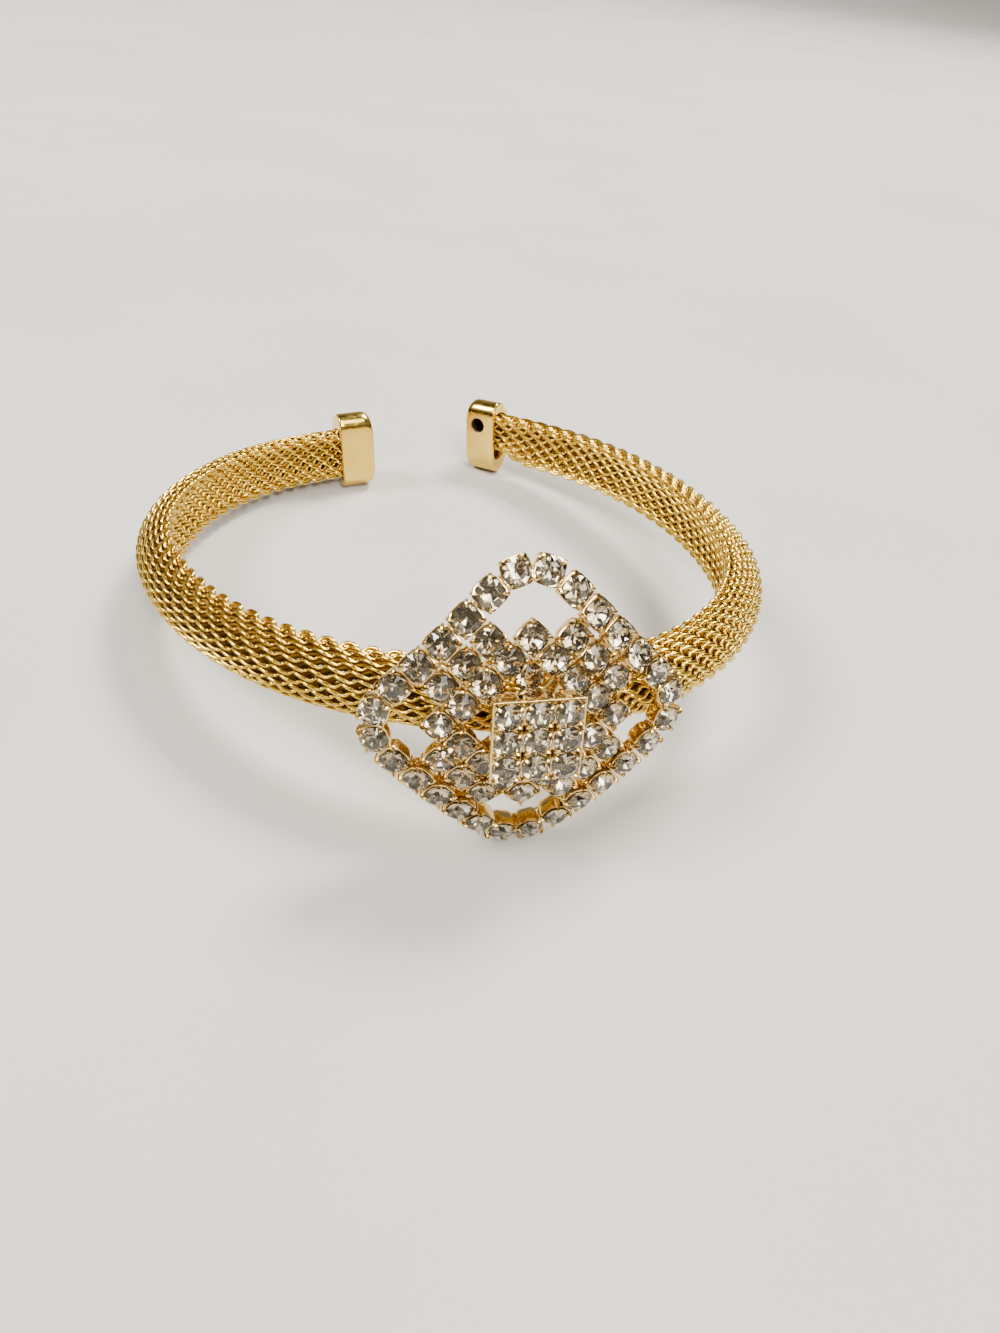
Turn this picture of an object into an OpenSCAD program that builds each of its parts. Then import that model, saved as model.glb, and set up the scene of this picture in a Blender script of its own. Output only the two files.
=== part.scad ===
// Open mesh cuff bracelet with a pierced rhinestone ornament, in millimetres.
// It rests on the surface Z = 0 as in the photograph: on the two end caps and on the
// ornament's lowest corner, which stands below the band and so raises the front.
// +X is to the right of the ornament, -Y is where the ornament faces, +Z is up.

/* [Band] */
// Height of the band's D section, across the wrist
band_h = 6.5; // [5:0.1:9]
// Thickness of the band from its inner face to its outer bulge
band_t = 4.2; // [3.6:0.1:6]
// Thickness of the knitted tube's wall
band_wall = 0.9; // [0.6:0.1:1.2]
// Radius of the two rounded edges of the section
edge_r = 1.2; // [0.9:0.05:1.4]
// Depth of the shallow groove along the inner face
groove = 0.4; // [0.1:0.05:0.6]
// Length of the straight piece at each end of the band
tail_len = 3; // [2.4:0.1:6]

/* [Curve of the right arm] */
// Inner radius of the right arm beside the ornament
right_front_r = 22.4; // [20:0.2:26]
// Sweep of that arc in degrees
right_front_deg = 60; // [54:1:66]
// Inner radius of the right side
right_side_r = 24.7; // [22:0.2:28]
// Sweep of that arc in degrees
right_side_deg = 33; // [28:1:38]
// Inner radius of the right end
right_end_r = 43.6; // [40:0.4:48]
// Sweep of that arc in degrees
right_end_deg = 55; // [52:1:60]

/* [Curve of the left arm] */
// Inner radius of the left arm beside the ornament
left_front_r = 36.2; // [33:0.2:40]
// Sweep of that arc in degrees
left_front_deg = 67; // [62:1:72]
// Inner radius of the left side
left_side_r = 24.7; // [22:0.2:28]
// Sweep of that arc in degrees
left_side_deg = 38; // [34:1:42]
// Inner radius of the left end
left_end_r = 21.9; // [20:0.2:24]
// Sweep of that arc in degrees
left_end_deg = 54; // [50:1:60]

/* [End caps] */
// Length of a cap along the band
cap_len = 4.4; // [4:0.1:7]
// How far a cap stands above and below the band
cap_over = 1.65; // [1.2:0.05:1.8]
// Radius of a cap's corners at its free end
cap_end_r = 1.2; // [0.8:0.1:1.4]
// How much higher than the band's middle the left cap sits
left_cap_rise = 0.4; // [-0.6:0.1:0.6]
// How much higher than the band's middle the right cap sits
right_cap_rise = -0.2; // [-0.6:0.1:0.6]
// Thickness of a cap's walls
cap_wall = 0.45; // [0.35:0.05:0.8]
// How far the band reaches into a cap
cap_grip = 1.4; // [1:0.1:2]
// Diameter of the round hole on the right cap's wrist side
cap_hole_d = 1.9; // [1:0.1:2]
// Height of the hole's centre above the band's middle
cap_hole_up = 1.6; // [1:0.1:2]
// Gap between pieces that are pushed together
fit_gap = 0.08; // [0.05:0.01:0.12]

/* [Ornament] */
// Distance between the centres of neighbouring cups
pitch = 2.6; // [2.5:0.05:2.8]
// Width of one cup
cup_w = 2.34; // [2.28:0.02:2.42]
// Height of one cup from its back to its rim
cup_h = 1.55; // [1.3:0.05:1.8]
// Width of a stone across its girdle
stone_d = 2.16; // [1.96:0.02:2.2]
// Height of the stone's table above the cup's rim
stone_rise = 0.5; // [0.35:0.05:0.6]
// Width of a prong
prong_w = 0.3; // [0.24:0.02:0.34]
// Corner radius of the outer ring of cups, along their centres
corner_r = 4.02; // [3.8:0.02:4.2]
// Radius of the ornament's bow from left to right
bow_across = 40; // [36:1:60]
// Radius of the ornament's bow from bottom to top
bow_up = 28; // [26:1:40]
// How much lower the inner rows are set than the outer ring
inner_drop = 0.4; // [0.3:0.05:0.6]
// How far the stones of the raised block stand in front of the bow
block_rise = 2.1; // [1.7:0.1:2.4]
// Distance between the cups of the raised block
block_pitch = 2.36; // [2.3:0.02:2.42]
// Height of the raised block's cups
block_h = 2.2; // [1.9:0.1:2.4]
// Radius of the round dish that carries the raised block
dish_r = 3.1; // [2.9:0.05:3.3]

/* [Seat of the ornament on the band] */
// How far the ornament sits to the right of the band's front
seat_x = 0.45; // [0:0.05:0.8]
// Distance of the bow's front from the band's inner face
seat_out = 7.95; // [7.8:0.05:8.6]
// Height of the ornament's centre above the band's middle
seat_up = 1.45; // [0:0.05:2]
// Turn of the ornament to the right
seat_yaw = 8.7; // [5:0.1:11]
// Lean of the ornament backwards
seat_lean = 5; // [3:0.1:7]
// Roll of the ornament, clockwise seen from the front
seat_roll = 2.6; // [0:0.1:4]

/* [Hidden] */
$fn = 64;

// Arcs of each arm, from the ornament to the cap: inner radius, sweep
R = 0;
DEG = 1;
right_arm = [[right_front_r, right_front_deg],
             [right_side_r, right_side_deg],
             [right_end_r, right_end_deg]];
left_arm = [[left_front_r, left_front_deg],
            [left_side_r, left_side_deg],
            [left_end_r, left_end_deg]];

// Heading of arc i's start, and the point of the inner face where it starts
function heading(arm, i) = i == 0 ? 0 : heading(arm, i - 1) + arm[i - 1][DEG];
function out(h) = [sin(h), -cos(h), 0];
function start(arm, i) = i == 0
    ? [0, 0, 0]
    : start(arm, i - 1) + arm[i - 1][R] * (out(heading(arm, i)) - out(heading(arm, i - 1)));
function tip(arm) = start(arm, len(arm)) + tail_len * along(heading(arm, len(arm)));
function along(h) = [cos(h), sin(h), 0];

// Cap sizes that follow from the band
cap_t = band_t + 2 * (cap_wall + fit_gap);
cap_h = band_h + 2 * cap_over;
cap_edge_r = edge_r + cap_wall + fit_gap;
cap_end_wall = 0.9;
cap_reach = cap_len - cap_grip;

// Ornament sizes that follow from the pitch
ring_count = 28;
side_len = (ring_count * pitch - 2 * PI * corner_r) / 4;
half_side = side_len / 2 + corner_r;
inner_reach = (half_side - 2 * pitch) * 1.075;
bar_h = 0.7;
boss_r = 1.7;

// How far the band's pieces lap over each other, and how much larger every other one is
lap_len = 0.3;
lap_grow = 0.02;

// Where the object touches the surface, before it is laid down: the right cap on its
// far end, the left cap on its near end, and the ornament below its lowest two cups
function cap_foot(arm, side, shift, rise) = let(
    h = heading(arm, len(arm)),
    p = tip(arm) + shift * along(h) + edge_r * out(h))
    [side * p[0], p[1], rise - cap_h / 2];
foot_r = (half_side - corner_r) * sqrt(2) + corner_r + 1;
foot_back = foot_r * foot_r / 2 / bow_up + 0.25;
function seated(p) = turn_z(turn_x(turn_x(turn_z(p, -seat_roll), 90), -seat_lean), seat_yaw)
    + [seat_x, -seat_out, seat_up];
function turn_x(p, a) = [p[0], p[1] * cos(a) - p[2] * sin(a), p[1] * sin(a) + p[2] * cos(a)];
function turn_y(p, a) = [p[0] * cos(a) + p[2] * sin(a), p[1], p[2] * cos(a) - p[0] * sin(a)];
function turn_z(p, a) = [p[0] * cos(a) - p[1] * sin(a), p[0] * sin(a) + p[1] * cos(a), p[2]];
foot_right = cap_foot(right_arm, 1, cap_reach - cap_end_r, right_cap_rise);
foot_left = cap_foot(left_arm, -1, -cap_grip, left_cap_rise);
foot_front = seated([0, -foot_r, -foot_back]);
plane = cross(foot_right - foot_front, foot_left - foot_front);
rest_x = atan(plane[1] / plane[2]);
rest_y = -atan(plane[0] / (plane[1] * sin(rest_x) + plane[2] * cos(rest_x)));
lift = -laid(foot_front)[2];
function laid(p) = turn_y(turn_x(p, rest_x), rest_y);

// The farthest points along X and Y, whose middle is set over the origin
function arc_centre(arm, i) = start(arm, i) - arm[i][R] * out(heading(arm, i));
far_right = laid(arc_centre(right_arm, 1) + [right_side_r + band_t, 0, 0]);
far_left = laid([-arc_centre(left_arm, 1)[0] - left_side_r - band_t,
                 arc_centre(left_arm, 1)[1], 0]);
far_back = laid(tip(right_arm) + cap_reach * along(heading(right_arm, 3))
                + (cap_t - cap_wall - fit_gap) * out(heading(right_arm, 3)));
far_front = laid(seated([-block_pitch, -block_pitch, block_rise]));

// D section with its inner face on x = 0, bulging towards +x
module d_section(t, h, r) {
    half = h / 2 - r;
    big = (pow(t - r, 2) + half * half - r * r) / 2 / (t - 2 * r);
    reach = (big * half) / (big - r);
    union() {
        translate([r, half])
            circle(r);
        translate([r, -half])
            circle(r);
        translate([0, -half])
            square([r, 2 * half]);
        intersection() {
            translate([t - big, 0])
                circle(big, $fn = 120);
            translate([r, -reach])
                square([t, 2 * reach]);
        }
    }
}

// The band's section; $grow makes it larger all round
module band_section() {
    half = band_h / 2 - edge_r;
    groove_r = (half * half + groove * groove) / 2 / groove;
    difference() {
        grown_section(band_t, band_h, edge_r);
        translate([groove - groove_r, 0])
            circle(groove_r - $grow, $fn = 96);
    }
}

module band_hollow() {
    translate([band_wall + groove, 0])
        grown_section(band_t - 2 * band_wall - groove, band_h - 2 * band_wall,
                      max(edge_r - band_wall, 0.25));
}

module grown_section(t, h, r) {
    translate([-$grow, 0])
        d_section(t + 2 * $grow, h + 2 * $grow, r + $grow);
}

// One arm: its arcs and straight tail, swept from a section. Every other piece is a
// trace larger and laps over its neighbours, so that no two pieces only touch.
module arm_sweep(arm, first, extra) {
    for (i = [0 : len(arm) - 1]) {
        wide = (i + first) % 2;
        lap = wide * lap_len / arm[i][R] * 180 / PI;
        $grow = wide * lap_grow;
        translate(start(arm, i) - arm[i][R] * out(heading(arm, i)))
            rotate([0, 0, heading(arm, i) - 90 - lap])
                rotate_extrude(angle = arm[i][DEG] + 2 * lap, $fn = 180)
                    translate([arm[i][R], 0])
                        children();
    }
    wide = (len(arm) + first) % 2;
    $grow = wide * lap_grow;
    at_end(arm, -wide * lap_len)
        linear_extrude(tail_len + wide * lap_len + extra)
            children();
}

// Frame at an arm's end: z along the band, x outwards, y up
module at_end(arm, shift) {
    h = heading(arm, len(arm));
    translate(start(arm, len(arm)) + shift * along(h))
        rotate([0, 0, h - 90])
            rotate([90, 0, 0])
                mirror([0, 0, 1])
                    children();
}

module both_arms(extra) {
    arm_sweep(right_arm, 1, extra)
        children();
    mirror([1, 0, 0])
        arm_sweep(left_arm, 0, extra)
            children();
}

module band_solid() {
    difference() {
        both_arms(0)
            band_section();
        both_arms(1)
            band_hollow();
    }
}

// Cap: a D shell over the band's end, closed and rounded at its free end, whose mouth
// is narrowed to the band. It sits higher than the band's middle by the rise.
module cap(arm, rise) {
    at_end(arm, tail_len - cap_grip)
        difference() {
            intersection() {
                translate([-cap_wall - fit_gap, rise, 0])
                    linear_extrude(cap_len)
                        d_section(cap_t, cap_h, cap_edge_r);
                translate([-cap_t, rise, 0])
                    rotate([0, 90, 0])
                        linear_extrude(3 * cap_t)
                            cap_side(cap_len, cap_h, cap_end_r);
            }
            translate([-fit_gap, 0, -1])
                linear_extrude(cap_grip + 1 + fit_gap)
                    d_section(band_t + 2 * fit_gap, band_h + 2 * fit_gap, edge_r + fit_gap);
            translate([-fit_gap, rise, cap_grip])
                linear_extrude(cap_reach - cap_end_wall)
                    d_section(cap_t - 2 * cap_wall, cap_h - 2 * cap_wall, cap_edge_r - cap_wall);
        }
}

// A cap's outline seen from the wrist: square at the mouth, rounded at the free end
module cap_side(len, h, r) {
    half = h / 2 - r;
    union() {
        translate([r - len, -h / 2])
            square([len - r, h]);
        translate([-len, -half])
            square([len, 2 * half]);
        translate([r - len, half])
            circle(r);
        translate([r - len, -half])
            circle(r);
    }
}

// The round hole in the right cap's wrist side
module cap_hole() {
    at_end(right_arm, tail_len + (cap_reach - cap_end_wall) / 2)
        translate([-cap_wall / 2 - fit_gap, cap_hole_up, 0])
            rotate([0, 90, 0])
                cylinder(h = 3 * cap_wall, d = cap_hole_d, center = true);
}

// Lays the bracelet down on the surface
module at_rest() {
    translate([-(far_left[0] + far_right[0]) / 2, -(far_front[1] + far_back[1]) / 2, lift])
        rotate([rest_x, rest_y, 0])
            children();
}

// Ornament frame: x right, y up, z towards the viewer, origin at the bow's front
module seat() {
    translate([seat_x, -seat_out, seat_up])
        rotate([0, 0, seat_yaw])
            rotate([90 - seat_lean, 0, 0])
                rotate([0, 0, -seat_roll])
                    children();
}

// Height of the bowed surface at a point, and the frame of a cup standing on it
function bow(p) = -(p[0] * p[0] / bow_across + p[1] * p[1] / bow_up) / 2;
module on_bow(p, turn, drop) {
    translate([p[0], p[1], bow(p) - drop])
        rotate([-atan(p[1] / bow_up), atan(p[0] / bow_across), 0])
            rotate([0, 0, turn])
                children();
}

// Place i of the outer ring: distance along the path from the top corner, x, y, turn
function ring_place(i) = let(
    s = (i + 0.5) * pitch,
    quarter = ring_count * pitch / 4,
    side = floor(s / quarter),
    u = s - side * quarter - quarter / 2,
    over = max(abs(u) - side_len / 2, 0) / corner_r * 180 / PI,
    flat = sign(u) * min(abs(u), side_len / 2),
    at = place(side, -flat - sign(u) * corner_r * sin(over),
               side_len / 2 + corner_r * cos(over)))
    [at[0], at[1], at[2] + sign(u) * over];

// Places of the ring's sides, of the rows inside them and of the inner ring
function place(side, x, y) = let(a = 45 + side * 90)
    [x * cos(a) - y * sin(a), x * sin(a) + y * cos(a), a];
function ring_side(side, k) = place(side, k * pitch, half_side);
function row_place(side, k) = place(side, k * pitch, half_side - pitch);
function inner_place(side, k) = place(side, k * inner_reach / 2, inner_reach);
lone_place = [0, 1.42 * pitch, 45];
lone_drop = 1.4;

module each_ring() {
    for (i = [0 : ring_count - 1])
        on_bow(ring_place(i), ring_place(i)[2], 0)
            children();
}

module each_row() {
    for (side = [0 : 3])
        for (k = [-1 : 1])
            on_bow(row_place(side, k), row_place(side, k)[2], inner_drop)
                children();
}

module each_inner() {
    for (side = [0 : 3])
        for (k = [-2 : 1])
            on_bow(inner_place(side, k), inner_place(side, k)[2], inner_drop)
                children();
    on_bow(lone_place, lone_place[2], lone_drop)
        children();
}

module each_crown() {
    for (column = [-1 : 1])
        for (row = [-1 : 1])
            translate([column * block_pitch, row * block_pitch, block_rise])
                children();
}

// Cup: a square wall with rounded corners and four prongs around a round pocket
module cup(h) {
    rim = -stone_rise;
    difference() {
        translate([0, 0, rim - h])
            intersection() {
                translate([-cup_w / 2, -cup_w / 2, 0])
                    cube([cup_w, cup_w, h]);
                cylinder(h = h, r = cup_w * 0.6);
            }
        translate([0, 0, rim - 0.95])
            cylinder(h = 1, r1 = 0.35, r2 = stone_d / 2 + fit_gap / 4);
    }
    for (turn = [45 : 90 : 315])
        rotate([0, 0, turn])
            translate([stone_d / 2 + fit_gap, -prong_w / 2, rim - 0.4])
                cube([prong_w, prong_w, 0.4 + stone_rise - 0.12]);
}

// Cut stone: crown with a table, girdle and pavilion, eight facets round, with a flat
// towards each neighbour
module stone() {
    girdle = -stone_rise + 0.12;
    rotate([0, 0, 22.5]) {
        translate([0, 0, girdle])
            cylinder(h = -girdle, d1 = stone_d - 0.02, d2 = stone_d * 0.6, $fn = 8);
        translate([0, 0, girdle - 0.06])
            cylinder(h = 0.06, d = stone_d - 0.02, $fn = 8);
        translate([0, 0, girdle - 0.06 - 0.62])
            cylinder(h = 0.62, d1 = stone_d * 0.3, d2 = stone_d - 0.02, $fn = 8);
    }
}

// Solder bar between two cups, at the cups' backs
module bar(a, b, drop) {
    mid = (a + b) / 2;
    d = b - a;
    on_bow(mid, atan2(d[1], d[0]), drop)
        translate([-norm([d[0], d[1]]) / 2 + 0.6, -0.55, -stone_rise - cup_h + 0.15])
            cube([norm([d[0], d[1]]) - 1.2, 1.1, bar_h]);
}

module setting_raw() {
    each_ring()
        cup(cup_h);
    each_row()
        cup(cup_h);
    each_inner()
        cup(cup_h);
    each_crown()
        cup(block_h);
    for (i = [0 : ring_count - 1])
        bar(ring_place(i), ring_place((i + 1) % ring_count), 0);
    for (side = [0 : 3]) {
        for (k = [-1 : 1])
            bar(row_place(side, k), ring_side(side, k), inner_drop / 2);
        for (k = [-1 : 0])
            bar(row_place(side, k), row_place(side, k + 1), inner_drop);
        for (k = [-2 : 1])
            bar(inner_place(side, k), inner_place(side, k + 1), inner_drop);
        bar([0, 0, 0], 1.02 * inner_place(side, 0), 0.55);
    }
    // Dish under the raised block, with the scooped lip above it
    translate([0, 0, block_rise - stone_rise - block_h - 0.9])
        cylinder(h = 1, r1 = dish_r, r2 = dish_r + 0.25);
    translate([0, 0, -stone_rise - cup_h - 0.6])
        cylinder(h = 1.8, r = dish_r - 0.9);
}

// Boss that joins the ornament to the band's front, cut to the band's bulge
module boss() {
    bulge_r = max(left_front_r, right_front_r);
    $grow = fit_gap;
    difference() {
        seat()
            translate([0, -1.2, -4.6])
                cylinder(h = 2.6, r = boss_r);
        translate([0, bulge_r, 0])
            rotate([0, 0, -105])
                rotate_extrude(angle = 30, $fn = 180)
                    translate([bulge_r, 0])
                        grown_section(band_t, band_h, edge_r);
    }
}

module mesh_band() {
    color("goldenrod")
        at_rest()
            band_solid();
}

module cap_left() {
    color("gold")
        at_rest()
            mirror([1, 0, 0])
                cap(left_arm, left_cap_rise);
}

module cap_right() {
    color("gold")
        at_rest()
            difference() {
                cap(right_arm, right_cap_rise);
                cap_hole();
            }
}

module ornament_setting() {
    color("khaki")
        at_rest() {
            seat()
                setting_raw();
            boss();
        }
}

module outer_ring_stones() {
    color("lightcyan")
        at_rest()
            seat()
                each_ring()
                    stone();
}

module side_row_stones() {
    color("lightblue")
        at_rest()
            seat()
                each_row()
                    stone();
}

module inner_ring_stones() {
    color("azure")
        at_rest()
            seat()
                each_inner()
                    stone();
}

module crown_stones() {
    color("white")
        at_rest()
            seat()
                each_crown()
                    stone();
}

mesh_band();
cap_left();
cap_right();
ornament_setting();
outer_ring_stones();
side_row_stones();
inner_ring_stones();
crown_stones();
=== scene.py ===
"""Mesh cuff bracelet with a pierced rhinestone ornament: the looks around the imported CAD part.

Lengths are written in millimetres, as in the part's source, and become metres when a mesh is made.
The ring frame has its origin on the band's inner face at the front, x right, -y to the front, z up.
"""

import math

import bmesh
import bpy
import numpy as np
from mathutils import Matrix, Vector


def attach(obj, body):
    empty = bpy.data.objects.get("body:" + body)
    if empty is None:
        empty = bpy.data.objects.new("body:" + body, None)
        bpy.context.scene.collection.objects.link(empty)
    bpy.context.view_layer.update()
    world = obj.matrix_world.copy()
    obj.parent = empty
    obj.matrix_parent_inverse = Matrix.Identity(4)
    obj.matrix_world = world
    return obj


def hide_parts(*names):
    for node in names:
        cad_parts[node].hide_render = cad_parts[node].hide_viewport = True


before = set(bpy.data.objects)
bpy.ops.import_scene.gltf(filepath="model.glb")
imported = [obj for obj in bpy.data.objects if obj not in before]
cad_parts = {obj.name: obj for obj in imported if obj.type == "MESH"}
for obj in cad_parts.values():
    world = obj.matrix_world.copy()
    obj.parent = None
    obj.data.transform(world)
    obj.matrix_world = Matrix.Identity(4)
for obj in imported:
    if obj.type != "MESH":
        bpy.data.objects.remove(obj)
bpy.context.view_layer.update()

MM = 0.001
rng = np.random.default_rng(17)

# Band: the D section and the arcs of each arm (inner radius, sweep in degrees)
BAND_H = 6.5
BAND_T = 4.2
EDGE_R = 1.2
GROOVE = 0.4
TAIL = 3.0
RIGHT_ARM = ((22.4, 60), (24.7, 33), (43.6, 55))
LEFT_ARM = ((36.2, 67), (24.7, 38), (21.9, 54))

# End caps
CAP_LEN = 4.4
CAP_OVER = 1.65
CAP_END_R = 1.2
LEFT_CAP_RISE = 0.4
RIGHT_CAP_RISE = -0.2
CAP_WALL = 0.45
CAP_GRIP = 1.4
CAP_HOLE_R = 0.95
CAP_HOLE_UP = 1.6
FIT_GAP = 0.08
CAP_END_WALL = 0.9
CAP_T = BAND_T + 2 * (CAP_WALL + FIT_GAP)
CAP_H = BAND_H + 2 * CAP_OVER
CAP_EDGE_R = EDGE_R + CAP_WALL + FIT_GAP
CAP_REACH = CAP_LEN - CAP_GRIP

# Ornament
PITCH = 2.6
CUP_W = 2.44
CUP_H = 1.55
STONE_D = 2.3
STONE_RISE = 0.5
CORNER_R = 4.02
BOW_ACROSS = 40
BOW_UP = 28
INNER_DROP = 0.4
BLOCK_RISE = 2.1
BLOCK_PITCH = 2.36
BLOCK_H = 2.2
DISH_R = 3.1
RING_COUNT = 28
SIDE_LEN = (RING_COUNT * PITCH - 2 * math.pi * CORNER_R) / 4
HALF_SIDE = SIDE_LEN / 2 + CORNER_R
INNER_STRETCH = 1.075
INNER_REACH = (HALF_SIDE - 2 * PITCH) * INNER_STRETCH
LONE_DROP = 1.4

# Corner radius of a cup's wall and how far its rim is scooped between the claws
CUP_CORNER = 0.75
CUP_SCOOP = 0.12

# A cup's wall: share of its width, height above its foot, share of the cup's height
CUP_WALL = ((0.62, 0.05, 0), (0.72, 0, 0), (0.80, 0.10, 0), (0.90, 0, 0.3), (0.96, 0, 0.6))

# A cup's lip and pocket: height of the lip's outer bevel, radius and depth of the pocket's foot
LIP_BEVEL = 0.12
POCKET_R = 0.45
POCKET_DEEP = 0.98

# A claw's path: distance from the cup's axis, height above its rim, radius
CLAW = ((1.38, -0.75, 0.14), (1.40, -0.15, 0.17), (1.37, 0.10, 0.165), (1.25, 0.26, 0.15),
        (1.08, 0.33, 0.125), (0.97, 0.31, 0.08))

# A cut stone: radius of its table, heights of its crown, girdle and pavilion, and by how many
# degrees the stones are tipped in their cups
TABLE_R = STONE_D * 0.29
CROWN_H = 0.38
GIRDLE_H = 0.05
PAVILION_H = 0.84
STONE_TIP = 1.6

# Solder bars: width, height, how much shorter than the way between two cups, height above
# the cups' feet, and how deep the arms from the dish lie and how far past the cups they run
BAR_W = 1.1
BAR_H = 0.7
BAR_SHORT = 1.2
BAR_UP = 0.15
ARM_DROP = 1.0
ARM_PAST = 1.02

# Rim strip round the raised block: width, height, depth of its foot below the cups' rim, how
# far it stands inside their walls, and how much it passes the corners
RIM_W = 0.18
RIM_H = 0.3
RIM_DROP = 0.36
RIM_IN = 0.04
RIM_PAST = 0.1

# Dish under the block: depths of its underside and of its foot, how far its widest part stands
# out, and its rolled edge (distance from the widest part, height above the underside)
DISH_DEEP = 0.9
DISH_FOOT = 0.6
DISH_WIDER = 0.25
DISH_EDGE = ((-0.04, 0.85), (-0.02, 0.97), (-0.12, 1.05), (-0.25, 1.0), (-0.45, 0.75))

# Boss between the dish and the band: its place on the ornament and its profile (radius, height)
BOSS_AT = (0, -1.2, -4.0)
BOSS = ((1.7, 0), (1.7, 1.85), (1.55, 2.0), (0.2, 2.0))

# Seat of the ornament on the band
SEAT_X = 0.45
SEAT_OUT = 7.95
SEAT_UP = 1.45
SEAT_YAW = 8.7
SEAT_LEAN = 5
SEAT_ROLL = 2.6

# Weave: rows of coiled wire round the section, each a part of a turn ahead of the last, with
# the steps of a turn and the sides of the wire, how far the wire stops before the band's ends,
# and how far the two arms' pieces pass the front
ROWS = 26
ROW_SHIFT = 10 / ROWS
STEPS = 14
SIDES = 6
WIRE_SHORT = 0.1
ARM_OVERLAP = 0.05

# Half-width of a coil and its wire's radius on the outer face, at signed distances from the
# front; the inner face has the last ones
COIL_W = ((-8, 0.19), (8, 0.27))
WIRE_R = ((-8, 0.165), (8, 0.21))

# Half-depth and lean of a coil, how much longer its front is than its back, and how much its
# width varies, with this many places where it does
COIL_D = 0.17
COIL_LEAN = 0.02
COIL_FRONT = 0.5
COIL_VARIES = 0.07
COIL_KNOTS = 120

# The edge rows: height, half-width and flatness of their arches, the part of the height by
# which they stand up, where they start from the band's ends and over what length they grow,
# how far below and inside them a second strand lies, and how far the edge leans inwards
EDGE_LOOP = 0.14
EDGE_W = 0.1
EDGE_FLAT = 0.65
EDGE_UP = 0.9
EDGE_START = 2
EDGE_GROW = 1.5
EDGE_SINK = 0.26
EDGE_IN = 0.2
EDGE_TILT = 0.9

# The strands behind the gaps between rows: radius, how far in they lie, half-width,
# half-depth, steps a turn, sides
BEHIND_R = 0.3
BEHIND_IN = 0.9
BEHIND_W = 0.34
BEHIND_D = 0.1
BEHIND_STEPS = 8
BEHIND_SIDES = 5

# Length of one turn of the coils at distances from the front along each arm
RIGHT_TURN = ((0, 1.85), (13, 1.6), (26, 1.62), (38, 1.8), (50, 2.2), (90, 2.3))
LEFT_TURN = ((0, 1.9), (12, 2.1), (37, 2.1), (45, 1.93), (55, 1.82), (90, 1.8))

# The right end's lower edge is pinched upwards by a part of its height over this length
PINCH = 0.42
PINCH_LEN = 5

# Camera in the ring frame, and its focal length for a 36 mm sensor along the height
CAMERA_AT = (-6.218, -64.318, 45.176)
CAMERA_LOOK = (0.05833, 0.82979, -0.55502)
CAMERA_UP = (0.01142, 0.55537, 0.83152)
CAMERA_LENS = 24.95


# Places

def out(angle):
    """Outward direction of the band at a heading."""
    return np.stack([np.sin(angle), -np.cos(angle)], axis=-1)


def arm_curve(arm, s):
    """Inner face points and outward directions of an arm at distances s from the front."""
    place = np.zeros((len(s), 2))
    outward = np.tile(out(0.0), (len(s), 1))
    heading, start, passed = 0.0, np.zeros(2), 0.0
    for radius, sweep in arm:
        here = s >= passed
        turn = heading + (s[here] - passed) / radius
        centre = start - radius * out(heading)
        place[here] = centre + radius * out(turn)
        outward[here] = out(turn)
        passed += radius * math.radians(sweep)
        heading += math.radians(sweep)
        start = centre + radius * out(heading)
    here = s >= passed
    along = np.array([math.cos(heading), math.sin(heading)])
    place[here] = start + (s[here] - passed)[:, None] * along
    outward[here] = out(heading)
    return place, outward


def arm_length(arm):
    return sum(radius * math.radians(sweep) for radius, sweep in arm) + TAIL


def band_curve(u):
    """Band places at signed distances u: right of the front is positive, left negative."""
    u = np.asarray(u, float)
    place, outward = arm_curve(RIGHT_ARM, np.abs(u))
    left = u < 0
    place_left, outward_left = arm_curve(LEFT_ARM, np.abs(u[left]))
    place[left] = place_left * [-1, 1]
    outward[left] = outward_left * [-1, 1]
    return place, outward


def end_frame(arm, side, shift):
    """Matrix at an arm's end: x outwards, y up, z along the band, shifted along it."""
    length = arm_length(arm) - TAIL
    place, outward = arm_curve(arm, np.array([length]))
    o = np.array([side * outward[0][0], outward[0][1], 0])
    along = np.array([-o[1], o[0], 0]) * side
    at = np.array([side * place[0][0], place[0][1], 0]) + shift * along
    up = np.array([0, 0, 1.0])
    return Matrix([[o[i], up[i], along[i], at[i]] for i in range(3)] + [[0, 0, 0, 1]])


def turned(degrees, axis):
    return Matrix.Rotation(math.radians(degrees), 4, axis)


SEAT = (Matrix.Translation((SEAT_X, -SEAT_OUT, SEAT_UP)) @ turned(SEAT_YAW, "Z")
        @ turned(90 - SEAT_LEAN, "X") @ turned(-SEAT_ROLL, "Z"))


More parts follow.
